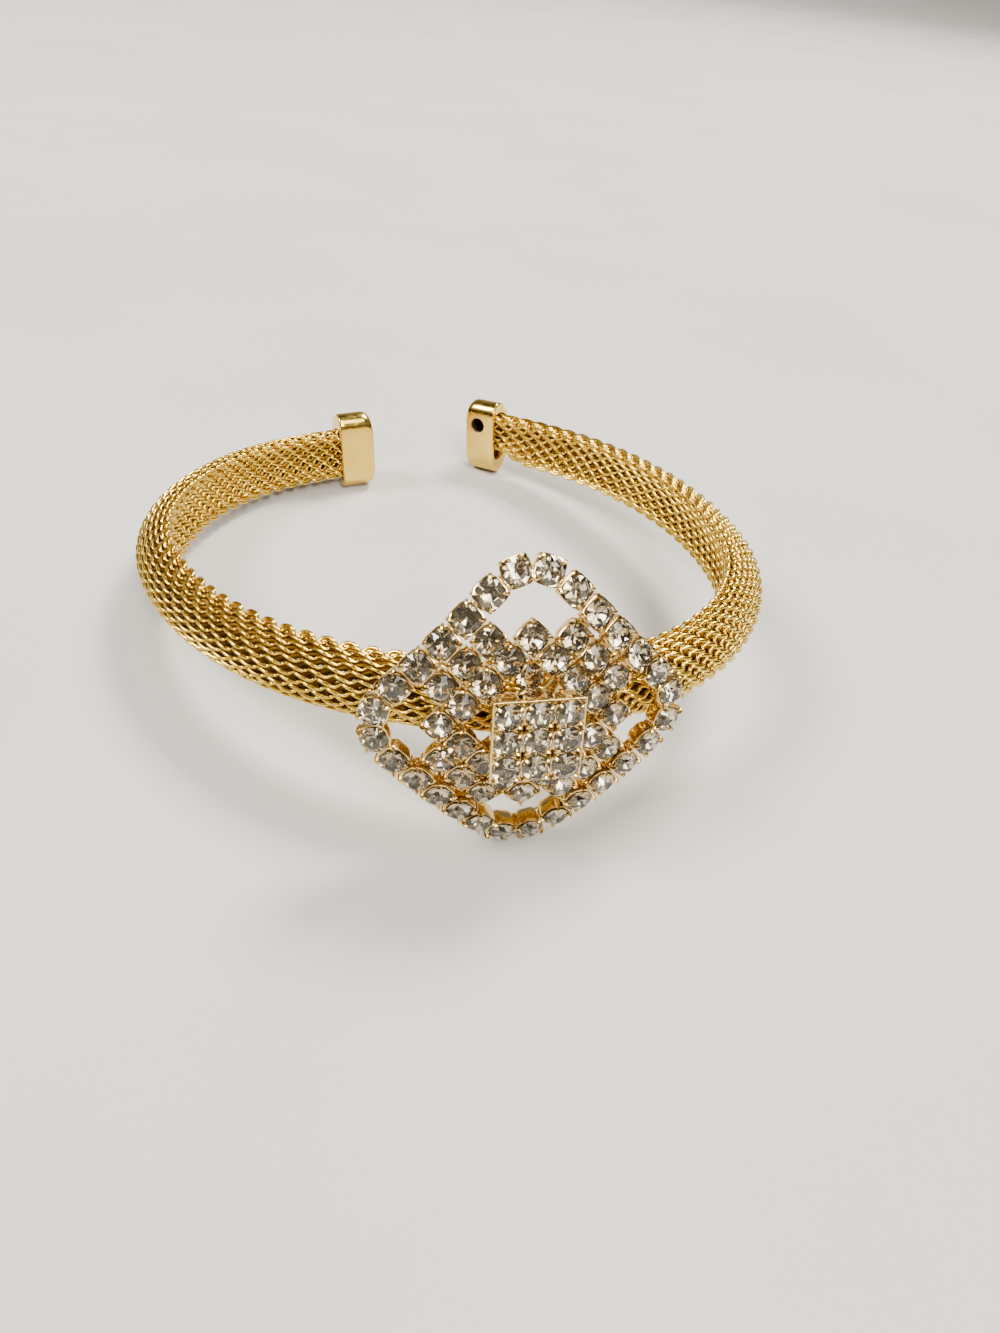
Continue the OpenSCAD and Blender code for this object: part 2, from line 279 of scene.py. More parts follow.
def rest_matrix():
    """Ring frame to the row frame: laid on the two caps and the ornament's lowest corner."""
    def foot(arm, side, shift, rise):
        at = end_frame(arm, side, TAIL + shift)
        return at @ Vector((EDGE_R, rise - CAP_H / 2, 0))

    foot_r = (HALF_SIDE - CORNER_R) * math.sqrt(2) + CORNER_R + 1
    foot_back = foot_r ** 2 / 2 / BOW_UP + 0.25
    right = foot(RIGHT_ARM, 1, CAP_REACH - CAP_END_R, RIGHT_CAP_RISE)
    left = foot(LEFT_ARM, -1, -CAP_GRIP, LEFT_CAP_RISE)
    front = SEAT @ Vector((0, -foot_r, -foot_back))
    plane = (right - front).cross(left - front)
    rest_x = math.atan(plane.y / plane.z)
    rest_y = -math.atan(plane.x / (plane.y * math.sin(rest_x) + plane.z * math.cos(rest_x)))
    laid = Matrix.Rotation(rest_y, 4, "Y") @ Matrix.Rotation(rest_x, 4, "X")

    def side_centre(arm, side):
        length = arm[0][0] * math.radians(arm[0][1])
        place, outward = arm_curve(arm, np.array([length + 1e-9]))
        centre = place[0] - arm[1][0] * outward[0]
        return Vector((side * centre[0], centre[1], 0))

    far_right = laid @ (side_centre(RIGHT_ARM, 1) + Vector((RIGHT_ARM[1][0] + BAND_T, 0, 0)))
    far_left = laid @ (side_centre(LEFT_ARM, -1) - Vector((LEFT_ARM[1][0] + BAND_T, 0, 0)))
    far_back = laid @ (end_frame(RIGHT_ARM, 1, TAIL + CAP_REACH)
                       @ Vector((CAP_T - CAP_WALL - FIT_GAP, 0, 0)))
    far_front = laid @ (SEAT @ Vector((-BLOCK_PITCH, -BLOCK_PITCH, BLOCK_RISE)))
    shift = Vector((-(far_left.x + far_right.x) / 2, -(far_front.y + far_back.y) / 2,
                    -(laid @ front).z))
    return Matrix.Translation(shift) @ laid


REST = rest_matrix()


def bow(x, y):
    return -(x * x / BOW_ACROSS + y * y / BOW_UP) / 2


def on_bow(x, y, turn, drop):
    """Frame of a cup on the ornament's bowed surface."""
    return (SEAT @ Matrix.Translation((x, y, bow(x, y) - drop))
            @ turned(math.degrees(math.atan(x / BOW_ACROSS)), "Y")
            @ turned(-math.degrees(math.atan(y / BOW_UP)), "X") @ turned(turn, "Z"))


def place(side, x, y):
    a = math.radians(45 + side * 90)
    return (x * math.cos(a) - y * math.sin(a), x * math.sin(a) + y * math.cos(a),
            45 + side * 90)


def ring_place(i):
    """Place i of the outer ring: x, y, turn."""
    s = (i % RING_COUNT + 0.5) * PITCH
    quarter = RING_COUNT * PITCH / 4
    side = math.floor(s / quarter)
    u = s - side * quarter - quarter / 2
    sign = (u > 0) - (u < 0)
    over = max(abs(u) - SIDE_LEN / 2, 0) / CORNER_R
    flat = sign * min(abs(u), SIDE_LEN / 2)
    x, y, turn = place(side, -flat - sign * CORNER_R * math.sin(over),
                       SIDE_LEN / 2 + CORNER_R * math.cos(over))
    return x, y, turn + sign * math.degrees(over)


RING = [ring_place(i) for i in range(RING_COUNT)]
SIDE_ROWS = [place(side, k * PITCH, HALF_SIDE - PITCH) for side in range(4) for k in (-1, 0, 1)]
INNER = [place(side, k * INNER_REACH / 2, INNER_REACH)
         for side in range(4) for k in (-2, -1, 0, 1)]
LONE = (0, 1.42 * PITCH, 45)
CROWN = [(column * BLOCK_PITCH, row * BLOCK_PITCH) for column in (-1, 0, 1)
         for row in (-1, 0, 1)]


def ring_frames():
    return [on_bow(x, y, turn, 0) for x, y, turn in RING]


def row_frames():
    return [on_bow(x, y, turn, INNER_DROP) for x, y, turn in SIDE_ROWS]


def inner_frames():
    return ([on_bow(x, y, turn, INNER_DROP) for x, y, turn in INNER]
            + [on_bow(*LONE, LONE_DROP)])


def crown_frames():
    return [SEAT @ Matrix.Translation((x, y, BLOCK_RISE)) for x, y in CROWN]


# Meshes

class Build:
    """Collects points and faces in the ring frame."""

    def __init__(self):
        self.points = []
        self.faces = []
        self.kinds = []
        self.count = 0

    def add(self, points, faces, kinds=None, matrix=None):
        points = np.asarray(points, float)
        if matrix is not None:
            m = np.array(matrix)
            points = points @ m[:3, :3].T + m[:3, 3]
        self.points.append(points)
        self.faces.extend(tuple(self.count + i for i in face) for face in faces)
        self.kinds.extend(kinds if kinds is not None else [0] * len(faces))
        self.count += len(points)

    def make(self, name, materials, smooth=True):
        points = np.concatenate(self.points)
        m = np.array(REST)
        points = (points @ m[:3, :3].T + m[:3, 3]) * MM
        mesh = bpy.data.meshes.new(name)
        mesh.from_pydata(points.tolist(), [], self.faces)
        for material in materials:
            mesh.materials.append(material)
        mesh.polygons.foreach_set("material_index", self.kinds)
        mesh.polygons.foreach_set("use_smooth", [smooth] * len(self.faces))
        mesh.update()
        piece = bpy.data.objects.new(name, mesh)
        bpy.context.collection.objects.link(piece)
        return piece


def ring_faces(rings, n):
    """Faces that join rings of n points, with a cap on the first ring and on the last."""
    faces = []
    for i in range(rings - 1):
        for j in range(n):
            following = (j + 1) % n
            faces.append((i * n + j, i * n + following, (i + 1) * n + following,
                          (i + 1) * n + j))
    faces.append(tuple(range(n - 1, -1, -1)))
    faces.append(tuple((rings - 1) * n + k for k in range(n)))
    return faces


def tube(path, normals, radii, sides):
    """Points and faces of a round tube along a path, with a radius at each of its points."""
    tangent = np.gradient(path, axis=0)
    tangent /= np.linalg.norm(tangent, axis=1, keepdims=True)
    side = np.cross(tangent, normals)
    side /= np.linalg.norm(side, axis=1, keepdims=True)
    up = np.cross(side, tangent)
    angles = np.arange(sides) * 2 * math.pi / sides
    ring = (np.cos(angles)[None, :, None] * side[:, None, :]
            + np.sin(angles)[None, :, None] * up[:, None, :])
    points = (path[:, None, :] + ring * np.asarray(radii)[:, None, None]).reshape(-1, 3)
    return points, ring_faces(len(path), sides)


# The knitted band

def section_outline():
    """Outline of the D section from the inner face's middle, up and round: x, z."""
    half = BAND_H / 2 - EDGE_R
    big = ((BAND_T - EDGE_R) ** 2 + half ** 2 - EDGE_R ** 2) / 2 / (BAND_T - 2 * EDGE_R)
    dip = (half ** 2 + GROOVE ** 2) / 2 / GROOVE
    dip_angle = math.asin(half / dip)
    meet = math.atan2(half, EDGE_R - BAND_T + big)

    def arc(cx, cy, r, a, b, n):
        t = np.linspace(a, b, n)[:-1]
        return np.stack([cx + r * np.cos(t), cy + r * np.sin(t)], axis=1)

    top = np.concatenate([
        arc(GROOVE - dip, 0, dip, 0, dip_angle, 30),
        arc(EDGE_R, half, EDGE_R, math.pi, meet, 80),
        arc(BAND_T - big, 0, big, meet, 0, 100)])
    bottom = top[::-1] * [1, -1]
    return np.concatenate([top, bottom[:-1]])


OUTLINE = section_outline()
OUTLINE_W = np.concatenate([[0], np.cumsum(np.linalg.norm(
    np.diff(np.vstack([OUTLINE, OUTLINE[:1]]), axis=0), axis=1))])
ROUND = OUTLINE_W[-1]


def on_section(w):
    """Point and outward normal of the section at distance w round it."""
    closed = np.vstack([OUTLINE, OUTLINE[:1]])
    at = np.mod(w, ROUND)
    point = np.stack([np.interp(at, OUTLINE_W, closed[:, k]) for k in (0, 1)], axis=-1)
    step = 0.12
    ahead = np.stack([np.interp(np.mod(w + step, ROUND), OUTLINE_W, closed[:, k])
                      for k in (0, 1)], axis=-1)
    behind = np.stack([np.interp(np.mod(w - step, ROUND), OUTLINE_W, closed[:, k])
                       for k in (0, 1)], axis=-1)
    run = ahead - behind
    normal = np.stack([-run[..., 1], run[..., 0]], axis=-1)
    return point, normal / np.linalg.norm(normal, axis=-1, keepdims=True)


def turn_counts():
    """Distances u along the band and how many coil turns lie between the front and each."""
    reach_left = arm_length(LEFT_ARM) - WIRE_SHORT
    reach_right = arm_length(RIGHT_ARM) - WIRE_SHORT
    u = np.linspace(-reach_left, reach_right, 4000)
    right = np.interp(u, *zip(*RIGHT_TURN))
    left = np.interp(-u, *zip(*LEFT_TURN))
    turn = np.where(u < 0, left, right)
    counts = np.concatenate([[0], np.cumsum(np.diff(u) / ((turn[1:] + turn[:-1]) / 2))])
    return u, counts - np.interp(0, u, counts)


U, COUNTS = turn_counts()
ROW_PLACES = (np.arange(ROWS) + 0.5) * ROUND / ROWS
EDGE_TOP = OUTLINE_W[int(np.argmax(OUTLINE[:, 1] - EDGE_TILT * OUTLINE[:, 0]))]
EDGE_ROW = int(np.argmin(abs(ROW_PLACES - EDGE_TOP)))
EDGE_ROWS = (EDGE_ROW, ROWS - 1 - EDGE_ROW)
OUTER_ROWS = range(EDGE_ROW + 1, ROWS - 1 - EDGE_ROW)


def pinched(point, u):
    """Section points with the lower half raised towards the right end."""
    t = np.clip((u - U[-1] + TAIL / 2 + PINCH_LEN) / PINCH_LEN, 0, 1)
    squeeze = 1 - PINCH * t * t * (3 - 2 * t)
    return np.column_stack([point[:, 0], np.where(point[:, 1] < 0, squeeze, 1) * point[:, 1]])


def on_band(point, normal, u):
    """Section points and normals at distances u along the band, in the ring frame."""
    at, outward = band_curve(u)
    return [np.column_stack([base + outward * off[:, :1], off[:, 1]])
            for base, off in ((at, point), (0 * at, normal))]


def coil(row, sink=0.0, aside=0.0):
    """Centre line, surface normals, distances and radii of one row's coil in the ring frame."""
    n = np.arange(COUNTS[0], COUNTS[-1], 1 / STEPS)
    angle = 2 * math.pi * (n - row * ROW_SHIFT)
    angle = angle + COIL_FRONT * np.cos(angle)
    turn = np.gradient(np.interp(n, COUNTS, U), n)
    u = np.clip(np.interp(n, COUNTS, U) - COIL_LEAN * turn * np.cos(angle), U[0], U[-1])
    knots = np.linspace(n[0], n[-1], COIL_KNOTS)
    wobble = 1 + COIL_VARIES * np.interp(n, knots, rng.standard_normal(COIL_KNOTS))
    at = u if row in OUTER_ROWS else np.full(len(u), U[-1])
    wave, loop, half_w = np.sin(angle), 0.0, np.interp(at, *zip(*COIL_W))
    radii = np.interp(at, *zip(*WIRE_R))
    if row in EDGE_ROWS:
        from_end = np.minimum(U[-1] - u, u - U[0])
        loop = EDGE_LOOP * np.clip((from_end - EDGE_START) / EDGE_GROW, 0, 1)
        wave = np.sign(wave) * abs(wave) ** EDGE_FLAT
        half_w = EDGE_W
    point, normal = on_section(ROW_PLACES[row] + aside - half_w * wobble * np.cos(angle))
    level = -radii - COIL_D + (COIL_D + loop) * wave + EDGE_UP * loop - sink
    point = pinched(point + normal * level[:, None], u)
    return *on_band(point, normal, u), u, radii


def behind_coil(row):
    """The same for a strand that crosses behind the gaps between two rows."""
    n = np.arange(COUNTS[0], COUNTS[-1], 1 / BEHIND_STEPS)
    angle = 2 * math.pi * (n - row * ROW_SHIFT + 0.5)
    u = np.clip(np.interp(n, COUNTS, U), U[0], U[-1])
    point, normal = on_section(ROW_PLACES[row] + ROUND / ROWS / 2 + BEHIND_W * np.cos(angle))
    point = pinched(point - normal * (BEHIND_IN - BEHIND_D * np.sin(angle))[:, None], u)
    return *on_band(point, normal, u), u, np.full(len(u), BEHIND_R)


def make_weave(wire, behind, deep):
    """The band's knitted wire: outer and inner rows of each arm, and the strands behind them, which
    take darker copies of the wire's gold as painted shade.
    """
    groups = {}

    def lay(strand, face, sides, left, right):
        path, normals, u, radii = strand
        for arm, part, material in (("left", u <= ARM_OVERLAP, left),
                                    ("right", u >= -ARM_OVERLAP, right)):
            index = np.flatnonzero(part)
            cut = slice(index[0], index[-1] + 1)
            points, faces = tube(path[cut], normals[cut], radii[cut], sides)
            build = groups.setdefault(f"weave_{face}_{arm}", (Build(), material))[0]
            build.add(points, faces)

    for row in range(ROWS):
        # The strands behind get the darker golds, painted shade for the tube's shaded inside; the
        # left arm's outer face gets the darkest one.
        face, left = ("outer", deep) if row in OUTER_ROWS else ("inner", behind)
        lay(coil(row), face, SIDES, wire, wire)
        lay(behind_coil(row), f"behind_{face}", BEHIND_SIDES, left, behind)
    for row, aside in zip(EDGE_ROWS, (-EDGE_IN, EDGE_IN)):
        lay(coil(row, EDGE_SINK, aside), "inner", SIDES, wire, wire)
    for name, (build, material) in groups.items():
        finish_piece(build.make(name, [material]), "mesh_band")


# End caps

def d_outline(t, h, r):
    """Points of a D outline with its inner face on x = 0."""
    n = 14
    half = h / 2 - r
    big = ((t - r) ** 2 + half ** 2 - r ** 2) / 2 / (t - 2 * r)
    meet = math.atan2(half, r - t + big)

    def arc(cx, cy, radius, a, b, count):
        step = np.linspace(a, b, count)
        return np.stack([cx + radius * np.cos(step), cy + radius * np.sin(step)], axis=1)

    flat = np.linspace(half, -half, n)[1:-1]
    return np.concatenate([
        arc(t - big, 0, big, -meet, meet, 2 * n)[:-1],
        arc(r, half, r, meet, math.pi, n),
        np.column_stack([0 * flat, flat]),
        arc(r, -half, r, math.pi, 2 * math.pi - meet, n)[:-1]])


def cap_shell(arm, side, rise):
    """One cap: a D shell over the band's end, with a narrowed mouth and a rounded free end."""
    lip_r, end_bevel = 0.22, 0.3
    rings = []

    def outer(z, inset, shorter=0.0):
        outline = d_outline(CAP_T - 2 * inset, CAP_H - 2 * inset - shorter, CAP_EDGE_R - inset)
        outline = outline + [inset - CAP_WALL - FIT_GAP, rise]
        rings.append(np.column_stack([outline, np.full(len(outline), z)]))

    def socket(z, wider=0.0):
        outline = d_outline(BAND_T + 2 * FIT_GAP + wider, BAND_H + 2 * FIT_GAP + wider,
                            EDGE_R + FIT_GAP + wider / 2)
        rings.append(np.column_stack([outline - [FIT_GAP + wider / 2, 0],
                                      np.full(len(outline), z)]))

    socket(CAP_GRIP)
    socket(0.12)
    socket(0.0, 0.12)
    for a in np.radians((0, 30, 60, 90)):
        outer(lip_r * (1 - math.cos(a)), lip_r * (1 - math.sin(a)))
    for z in np.linspace(lip_r, CAP_LEN - CAP_END_R, 8)[1:]:
        outer(z, 0)
    for a in np.radians(range(10, 100, 10)):
        z = CAP_LEN - CAP_END_R * (1 - math.sin(a))
        into = max(z - CAP_LEN + end_bevel, 0)
        outer(z, end_bevel - math.sqrt(end_bevel ** 2 - into ** 2),
              2 * CAP_END_R * (1 - math.cos(a)))
    for inset in (0.6, 0.9, 1.2):
        outer(CAP_LEN, inset, 2 * CAP_END_R)
    build = Build()
    build.add(np.concatenate(rings), ring_faces(len(rings), len(rings[0])),
              matrix=end_frame(arm, side, TAIL - CAP_GRIP))
    return build


def cap_bore(name, arm, side, dark):
    """The round hole's cutter, with a small chamfer outside and a wider chamber behind it."""
    sides = 40
    face, wall_in, chamber_end = -CAP_WALL - FIT_GAP, 0.1, 2.4
    chamfer_r, chamfer_deep, chamber_r = CAP_HOLE_R + 0.1, 0.09, CAP_HOLE_R + 0.4
    profile = ((face - 1, chamfer_r), (face, chamfer_r), (face + chamfer_deep, CAP_HOLE_R),
               (wall_in, CAP_HOLE_R), (wall_in + 0.01, chamber_r), (chamber_end, chamber_r))
    a = np.arange(sides) * 2 * math.pi / sides
    y, z = CAP_HOLE_UP, CAP_GRIP + (CAP_REACH - CAP_END_WALL) / 2
    rings = [np.column_stack([np.full(sides, x), y + r * np.cos(a), z + r * np.sin(a)])
             for x, r in profile]
    bore = Build()
    bore.add(np.concatenate(rings), ring_faces(len(rings), sides),
             matrix=end_frame(arm, side, TAIL - CAP_GRIP))
    cutter = bore.make(name, [dark])
    recalculate(cutter.data)
    return cutter


def make_cap(name, node, arm, side, rise, gold, dark=None):
    """A cap, with the round hole where a dark material is given; the hole's walls take that
    material as painted shade.
    """
    cap = cap_shell(arm, side, rise).make(name, [gold])
    recalculate(cap.data)
    if dark:
        cutter = cap_bore(name + "_bore", arm, side, dark)
        cut = cap.modifiers.new("hole", "BOOLEAN")
        cut.operation = "DIFFERENCE"
        cut.object = cutter
        cut.solver = "EXACT"
        # The hole's walls take the cutter's dark material: painted shade in the hole.
        cut.material_mode = "TRANSFER"
        apply_modifiers(cap)
        bpy.data.objects.remove(cutter)
    finish_piece(cap, node, 32)


def finish_piece(piece, node, smooth_angle=None):
    """Rides the root in place of a node, with edges past a given angle shaded sharp."""
    if smooth_angle is not None:
        piece.data.set_sharp_from_angle(angle=math.radians(smooth_angle))
    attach(piece, "root")
    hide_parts(node)


def recalculate(mesh):
    """Turns every face outwards."""
    work = bmesh.new()
    work.from_mesh(mesh)
    bmesh.ops.recalc_face_normals(work, faces=work.faces)
    work.to_mesh(mesh)
    work.free()


def apply_modifiers(piece):
    graph = bpy.context.evaluated_depsgraph_get()
    mesh = bpy.data.meshes.new_from_object(piece.evaluated_get(graph))
    piece.modifiers.clear()
    piece.data = mesh


# Ornament: cups, stones, bars, dish

def rounded_square(half, corner, n=9):
    """Points of a rounded square, starting at the middle of the +x side."""
    points = []
    for k in range(4):
        a = np.linspace(0, math.pi / 2, n) + k * math.pi / 2
        cx, cy = ((1, 1), (-1, 1), (-1, -1), (1, -1))[k]
        inner = half - corner
        points.append(np.stack([cx * inner + corner * np.cos(a),
                                cy * inner + corner * np.sin(a)], axis=1))
    return np.concatenate(points)


def cup_mesh(height):
    """One cup: a tapered rounded box, scooped between four claws that close over the stone."""
    rim = -STONE_RISE
    low = rim - height
    top = rounded_square(CUP_W / 2, CUP_CORNER)
    n = len(top)
    scoop = CUP_SCOOP * np.cos(2 * np.arctan2(top[:, 1], top[:, 0])) ** 2
    length = np.linalg.norm(top, axis=1, keepdims=True)
    inner = top / length * np.minimum(length - 0.1, STONE_D / 2 - 0.02)
    shape = []

    def ring(xy, z):
        shape.append(np.column_stack([xy, np.broadcast_to(z, n)]))

    for size, up, share in CUP_WALL:
        ring(top * size, low + up + height * share)
    ring(top, rim - scoop - LIP_BEVEL)
    ring(top * 0.99, rim - scoop)
    ring((top + inner) / 2, rim - scoop + 0.03)
    ring(inner, rim - scoop)
    ring(inner * 0.98, rim - 0.22)
    ring(top / length * POCKET_R, rim - POCKET_DEEP)
    parts = [(np.concatenate(shape), ring_faces(len(shape), n))]
    for k in range(4):
        a = math.radians(45 + 90 * k)
        path = np.array([[math.cos(a) * reach, math.sin(a) * reach, rim + rise]
                         for reach, rise, _ in CLAW])
        normals = np.tile([math.cos(a), math.sin(a), 0.9], (len(path), 1))
        parts.append(tube(path, normals, [radius for _, _, radius in CLAW], 8))
    return parts


def stone_mesh():
    """Cut stone, table at z = 0: points, faces, kinds (0 glass, 1 foil)."""
    girdle_r = STONE_D / 2 - 0.01

    def ring(r, z, count):
        a = np.arange(count) * 2 * math.pi / count
        return np.column_stack([r * np.cos(a), r * np.sin(a), np.full(count, z)])

    points = np.concatenate([
        ring(TABLE_R, 0, 8),
        ring(girdle_r, -CROWN_H, 16),
        ring(girdle_r, -CROWN_H - GIRDLE_H, 16),
        [[0, 0, -CROWN_H - GIRDLE_H - PAVILION_H]]])
    t, g, h, c = 0, 8, 24, 40
    faces, kinds = [tuple(range(8))], [0]
    for k in range(8):
        following = (k + 1) % 8
        g0, g1, g2 = 2 * k, 2 * k + 1, (2 * k + 2) % 16
        faces += [(t + k, g + g0, g + g1), (t + k, g + g1, t + following),
                  (t + following, g + g1, g + g2),
                  (g + g0, h + g0, h + g1, g + g1), (g + g1, h + g1, h + g2, g + g2),
                  (h + g0, c, h + g2, h + g1)]
        kinds += [0] * 5 + [1]
    return points, faces, kinds


def make_cups(name, frames, height, gold):
    build = Build()
    parts = cup_mesh(height)
    for matrix in frames:
        for points, faces in parts:
            build.add(points, faces, matrix=matrix)
    piece = build.make(name, [gold])
    recalculate(piece.data)
    finish_piece(piece, "ornament_setting", 38)


def make_stones(name, node, frames, glass, foil):
    """Stones of one node, each turned its own way in its cup."""
    build = Build()
    points, faces, kinds = stone_mesh()
    for matrix in frames:
        spin = rng.uniform(0, 45)
        tip_x = rng.normal(0, STONE_TIP)
        tip_y = rng.normal(0, STONE_TIP)
        own = matrix @ turned(tip_x, "X") @ turned(tip_y, "Y") @ turned(spin, "Z")
        build.add(points, faces, kinds, own)
    piece = build.make(name, [glass, foil], smooth=False)
    recalculate(piece.data)
    finish_piece(piece, node)


def rounded_bar(length, width, height):
    """A bar along x with rounded long edges, its underside on z = 0."""
    profile = rounded_square(0.5, 0.22, 4) * [width, height] + [0, height / 2]
    n = len(profile)
    rings = []
    for x, size in ((-0.5, 0.8), (-0.44, 1), (0.44, 1), (0.5, 0.8)):
        ring = profile * [size, 1]
        rings.append(np.column_stack([np.full(n, x * length), ring]))
    return np.concatenate(rings), ring_faces(len(rings), n)


def make_bars(gold):
    """Solder bars between neighbouring cups, at the cups' backs, and the block's rim strip."""
    build = Build()

    def bar(a, b, drop):
        span = math.hypot(b[0] - a[0], b[1] - a[1])
        turn = math.degrees(math.atan2(b[1] - a[1], b[0] - a[0]))
        matrix = on_bow((a[0] + b[0]) / 2, (a[1] + b[1]) / 2, turn, drop)
        matrix = matrix @ Matrix.Translation((0, 0, -STONE_RISE - CUP_H + BAR_UP))
        points, faces = rounded_bar(span - BAR_SHORT, BAR_W, BAR_H)
        build.add(points, faces, matrix=matrix)

    for i in range(RING_COUNT):
        bar(ring_place(i), ring_place(i + 1), 0)
    for side in range(4):
        for k in (-1, 0, 1):
            row = place(side, k * PITCH, HALF_SIDE - PITCH)
            bar(row, place(side, k * PITCH, HALF_SIDE), INNER_DROP / 2)
        for k in (-1, 0):
            bar(place(side, k * PITCH, HALF_SIDE - PITCH),
                place(side, (k + 1) * PITCH, HALF_SIDE - PITCH), INNER_DROP)
        for k in (-2, -1, 0, 1):
            bar(place(side, k * INNER_REACH / 2, INNER_REACH),
                place(side, (k + 1) * INNER_REACH / 2, INNER_REACH), INNER_DROP)
        x, y, _ = place(side, 0, INNER_REACH)
        bar((0, 0), (ARM_PAST * x, ARM_PAST * y), ARM_DROP)
    half = BLOCK_PITCH + CUP_W / 2 - RIM_IN
    points, faces = rounded_bar(2 * half + RIM_PAST, RIM_W, RIM_H)
    for side in (0, 1, 3):
        rim = Matrix.Translation((0, half, BLOCK_RISE - STONE_RISE - RIM_DROP))
        build.add(points, faces, matrix=SEAT @ turned(90 * side, "Z") @ rim)
    piece = build.make("solder_bars", [gold])
    recalculate(piece.data)
    finish_piece(piece, "ornament_setting", 40)


def lathe(profile, n=64):
    """Points and faces of a profile of (radius, z) turned round z, closed at both ends."""
    a = np.arange(n) * 2 * math.pi / n
    rings = [np.column_stack([r * np.cos(a), r * np.sin(a), np.full(n, z)]) for r, z in profile]
    return np.concatenate(rings), ring_faces(len(rings), n)


def make_dish(gold):
    """Round dish under the raised block, its foot, and the boss against the band."""
    build = Build()
    base = BLOCK_RISE - STONE_RISE - BLOCK_H - DISH_DEEP
    foot = -STONE_RISE - CUP_H - DISH_FOOT
    foot_r = DISH_R - 0.9
    under = [(foot_r, foot), (foot_r, base), (DISH_R - 0.1, base), (DISH_R, base + 0.1)]
    edge = [(DISH_R + DISH_WIDER + out_by, base + up) for out_by, up in DISH_EDGE]
    points, faces = lathe(under + edge + [(0.3, base + 0.7)])
    build.add(points, faces, matrix=SEAT)
    points, faces = lathe(BOSS, 40)
    build.add(points, faces, matrix=SEAT @ Matrix.Translation(BOSS_AT))
    piece = build.make("ornament_dish", [gold])
    recalculate(piece.data)
    finish_piece(piece, "ornament_setting", 40)


# Materials

def new_material(name):
    material = bpy.data.materials.new(name)
    material.use_nodes = True
    nodes = material.node_tree.nodes
    return material, nodes, material.node_tree.links, nodes["Principled BSDF"]


def noise(nodes, links, scale, detail=4, coordinates=None):
    texture = nodes.new("ShaderNodeTexNoise")
    texture.inputs["Scale"].default_value = scale
    texture.inputs["Detail"].default_value = detail
    links.new(coordinates, texture.inputs["Vector"])
    return texture.outputs["Fac"]


def ramp(nodes, links, factor, stops):
    node = nodes.new("ShaderNodeValToRGB")
    links.new(factor, node.inputs["Fac"])
    elements = node.color_ramp.elements
    while len(elements) < len(stops):
        elements.new(0.5)
    for element, (at, colour) in zip(elements, stops):
        element.position = at
        element.color = (*colour, 1)
    return node.outputs["Color"]


def metal(name, low, high, rough_low, rough_high, patch, fine, bump):
    """A polished metal whose colour and roughness vary a little in patches."""
    material, nodes, links, shader = new_material(name)
    where = nodes.new("ShaderNodeTexCoord").outputs["Object"]
    broad = noise(nodes, links, patch, 3, where)
    close = noise(nodes, links, fine, 5, where)
    links.new(ramp(nodes, links, broad, ((0.3, low), (0.7, high))), shader.inputs["Base Color"])
    spread = nodes.new("ShaderNodeMapRange")
    spread.inputs["From Min"].default_value = 0.3
    spread.inputs["From Max"].default_value = 0.7
    spread.inputs["To Min"].default_value = rough_low
    spread.inputs["To Max"].default_value = rough_high
    links.new(close, spread.inputs["Value"])
    links.new(spread.outputs["Result"], shader.inputs["Roughness"])
    raise_ = nodes.new("ShaderNodeBump")
    raise_.inputs["Strength"].default_value = bump
    raise_.inputs["Distance"].default_value = 0.00002
    links.new(close, raise_.inputs["Height"])
    links.new(raise_.outputs["Normal"], shader.inputs["Normal"])
    shader.inputs["Metallic"].default_value = 1.0
    return material


def glass_material():
    material, nodes, links, shader = new_material("cut_glass")
    where = nodes.new("ShaderNodeTexCoord").outputs["Object"]
    cloud = noise(nodes, links, 900, 2, where)
    links.new(ramp(nodes, links, cloud, ((0.35, (0.93, 0.92, 0.88)), (0.65, (0.99, 0.98, 0.96)))),
              shader.inputs["Base Color"])
    shader.inputs["Transmission Weight"].default_value = 1.0
    shader.inputs["Roughness"].default_value = 0.0
    shader.inputs["IOR"].default_value = 1.56
    return material


def foil_material():
    material = metal("mirror_foil", (0.70, 0.62, 0.48), (0.84, 0.77, 0.63), 0.03, 0.09,
                     1400, 4000, 0.1)
    material.node_tree.nodes["Principled BSDF"].inputs["Metallic"].default_value = 0.96
    return material


def floor_material():
    material, nodes, links, shader = new_material("pale_floor")
    where = nodes.new("ShaderNodeTexCoord").outputs["Object"]
    soft = noise(nodes, links, 14, 6, where)
    links.new(ramp(nodes, links, soft, ((0.3, (0.46, 0.445, 0.42)), (0.7, (0.51, 0.495, 0.47)))),
              shader.inputs["Base Color"])
    shader.inputs["Roughness"].default_value = 0.8
    shader.inputs["Specular IOR Level"].default_value = 0.2
    return material


# Stage

def make_floor():
    """A pale floor that sweeps up into a back wall far behind the bracelet."""
    half_width, front, back, sweep_r, top = 6.0, -4.0, 1.6, 3.0, 5.0
    sweep = [(back + sweep_r * math.sin(a), sweep_r * (1 - math.cos(a)))
             for a in np.linspace(0, math.pi / 2, 24)]
    profile = [(front, 0.0)] + sweep + [(back + sweep_r, top)]
    points = [(x, y, z - 0.0001) for y, z in profile for x in (-half_width, half_width)]
    mesh = bpy.data.meshes.new("floor")
    mesh.from_pydata(points, [], [(2 * i, 2 * i + 1, 2 * i + 3, 2 * i + 2)
                                  for i in range(len(profile) - 1)])
    mesh.polygons.foreach_set("use_smooth", [True] * len(mesh.polygons))
    mesh.materials.append(floor_material())
    floor = bpy.data.objects.new("floor", mesh)
    bpy.context.collection.objects.link(floor)


def make_light(name, at, toward, size, power, colour):
    data = bpy.data.lights.new(name, "AREA")
    data.shape = "RECTANGLE"
    data.size, data.size_y = size
    data.energy = power
    data.color = colour
    light = bpy.data.objects.new(name, data)
    light.location = at
    light.rotation_euler = (Vector(toward) - Vector(at)).to_track_quat("-Z", "Y").to_euler()
    bpy.context.collection.objects.link(light)


